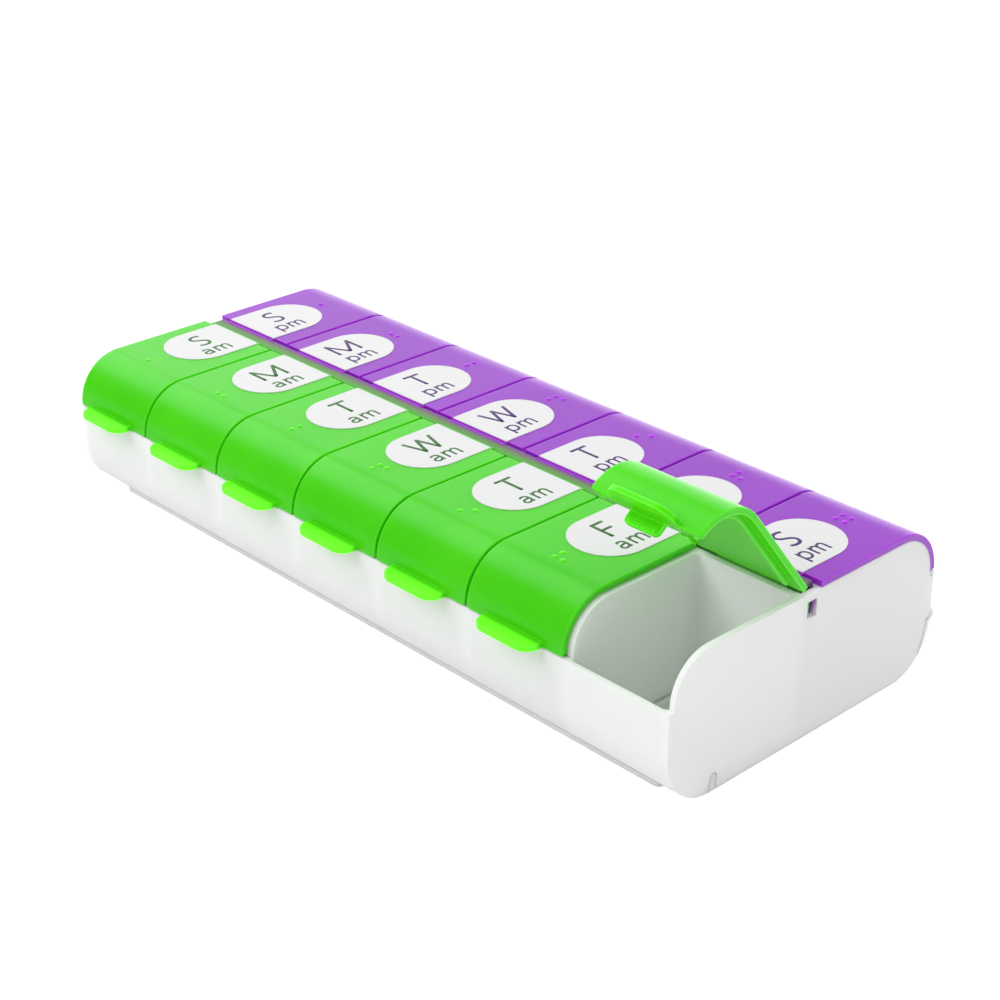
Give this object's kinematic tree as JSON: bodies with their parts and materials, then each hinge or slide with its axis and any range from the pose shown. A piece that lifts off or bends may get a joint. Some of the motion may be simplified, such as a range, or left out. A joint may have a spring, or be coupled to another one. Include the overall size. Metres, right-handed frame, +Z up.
{
  "type": "weekly pill organizer",
  "caption": "Long weekly pill organizer: a morning and an evening row of hinged flip-up lids over one compartment tray, with a fill door under it.",
  "frame": {"origin": "centre of the underside, on the surface that the organizer stands on", "axes": "+X along the days from Sunday to Saturday, +Y from the morning row to the evening row, +Z up through the lids"},
  "size_m": [0.2224, 0.1024, 0.0705],
  "materials": {
    "tray_plastic": "satin",
    "door_plastic": "satin",
    "green_plastic": "gloss",
    "purple_plastic": "gloss",
    "label_film": "satin"
  },
  "bodies": {
    "tray": {"compartment_tray": "tray_plastic", "am_hinge_strip": "green_plastic", "pm_hinge_strip": "purple_plastic"},
    "fill_door": {"fill_door": "door_plastic"},
    "sunday_am_lid": {"sunday_am_lid": "green_plastic", "sunday_am_label": "label_film"},
    "sunday_pm_lid": {"sunday_pm_lid": "purple_plastic", "sunday_pm_label": "label_film"},
    "monday_am_lid": {"monday_am_lid": "green_plastic", "monday_am_label": "label_film"},
    "monday_pm_lid": {"monday_pm_lid": "purple_plastic", "monday_pm_label": "label_film"},
    "tuesday_am_lid": {"tuesday_am_lid": "green_plastic", "tuesday_am_label": "label_film"},
    "tuesday_pm_lid": {"tuesday_pm_lid": "purple_plastic", "tuesday_pm_label": "label_film"},
    "wednesday_am_lid": {"wednesday_am_lid": "green_plastic", "wednesday_am_label": "label_film"},
    "wednesday_pm_lid": {"wednesday_pm_lid": "purple_plastic", "wednesday_pm_label": "label_film"},
    "thursday_am_lid": {"thursday_am_lid": "green_plastic", "thursday_am_label": "label_film"},
    "thursday_pm_lid": {"thursday_pm_lid": "purple_plastic", "thursday_pm_label": "label_film"},
    "friday_am_lid": {"friday_am_lid": "green_plastic", "friday_am_label": "label_film"},
    "friday_pm_lid": {"friday_pm_lid": "purple_plastic", "friday_pm_label": "label_film"},
    "saturday_am_lid": {"saturday_am_lid": "green_plastic", "saturday_am_label": "label_film"},
    "saturday_pm_lid": {"saturday_pm_lid": "purple_plastic", "saturday_pm_label": "label_film"}
  },
  "joints": [
    {"name": "sunday_am_lid_hinge", "type": "hinge", "parent": "tray", "child": "sunday_am_lid", "pos_m": [-0.096, -0.002, 0.0387], "axis": [-1, 0, 0], "range_deg": [0, 90]},
    {"name": "sunday_pm_lid_hinge", "type": "hinge", "parent": "tray", "child": "sunday_pm_lid", "pos_m": [-0.096, 0.002, 0.0387], "axis": [1, 0, 0], "range_deg": [0, 90]},
    {"name": "monday_am_lid_hinge", "type": "hinge", "parent": "tray", "child": "monday_am_lid", "pos_m": [-0.064, -0.002, 0.0387], "axis": [-1, 0, 0], "range_deg": [0, 90]},
    {"name": "monday_pm_lid_hinge", "type": "hinge", "parent": "tray", "child": "monday_pm_lid", "pos_m": [-0.064, 0.002, 0.0387], "axis": [1, 0, 0], "range_deg": [0, 90]},
    {"name": "tuesday_am_lid_hinge", "type": "hinge", "parent": "tray", "child": "tuesday_am_lid", "pos_m": [-0.032, -0.002, 0.0387], "axis": [-1, 0, 0], "range_deg": [0, 90]},
    {"name": "tuesday_pm_lid_hinge", "type": "hinge", "parent": "tray", "child": "tuesday_pm_lid", "pos_m": [-0.032, 0.002, 0.0387], "axis": [1, 0, 0], "range_deg": [0, 90]},
    {"name": "wednesday_am_lid_hinge", "type": "hinge", "parent": "tray", "child": "wednesday_am_lid", "pos_m": [0, -0.002, 0.0387], "axis": [-1, 0, 0], "range_deg": [0, 90]},
    {"name": "wednesday_pm_lid_hinge", "type": "hinge", "parent": "tray", "child": "wednesday_pm_lid", "pos_m": [0, 0.002, 0.0387], "axis": [1, 0, 0], "range_deg": [0, 90]},
    {"name": "thursday_am_lid_hinge", "type": "hinge", "parent": "tray", "child": "thursday_am_lid", "pos_m": [0.032, -0.002, 0.0387], "axis": [-1, 0, 0], "range_deg": [0, 90]},
    {"name": "thursday_pm_lid_hinge", "type": "hinge", "parent": "tray", "child": "thursday_pm_lid", "pos_m": [0.032, 0.002, 0.0387], "axis": [1, 0, 0], "range_deg": [0, 90]},
    {"name": "friday_am_lid_hinge", "type": "hinge", "parent": "tray", "child": "friday_am_lid", "pos_m": [0.064, -0.002, 0.0387], "axis": [-1, 0, 0], "range_deg": [0, 90]},
    {"name": "friday_pm_lid_hinge", "type": "hinge", "parent": "tray", "child": "friday_pm_lid", "pos_m": [0.064, 0.002, 0.0387], "axis": [1, 0, 0], "range_deg": [0, 90]},
    {"name": "saturday_am_lid_hinge", "type": "hinge", "parent": "tray", "child": "saturday_am_lid", "pos_m": [0.096, -0.002, 0.0387], "axis": [-1, 0, 0], "range_deg": [-52, 38]},
    {"name": "saturday_pm_lid_hinge", "type": "hinge", "parent": "tray", "child": "saturday_pm_lid", "pos_m": [0.096, 0.002, 0.0387], "axis": [1, 0, 0], "range_deg": [0, 90]},
    {"name": "fill_door_hinge", "type": "hinge", "parent": "tray", "child": "fill_door", "pos_m": [0, 0.0469, 0.0137], "axis": [1, 0, 0], "range_deg": [0, 100]}
  ]
}
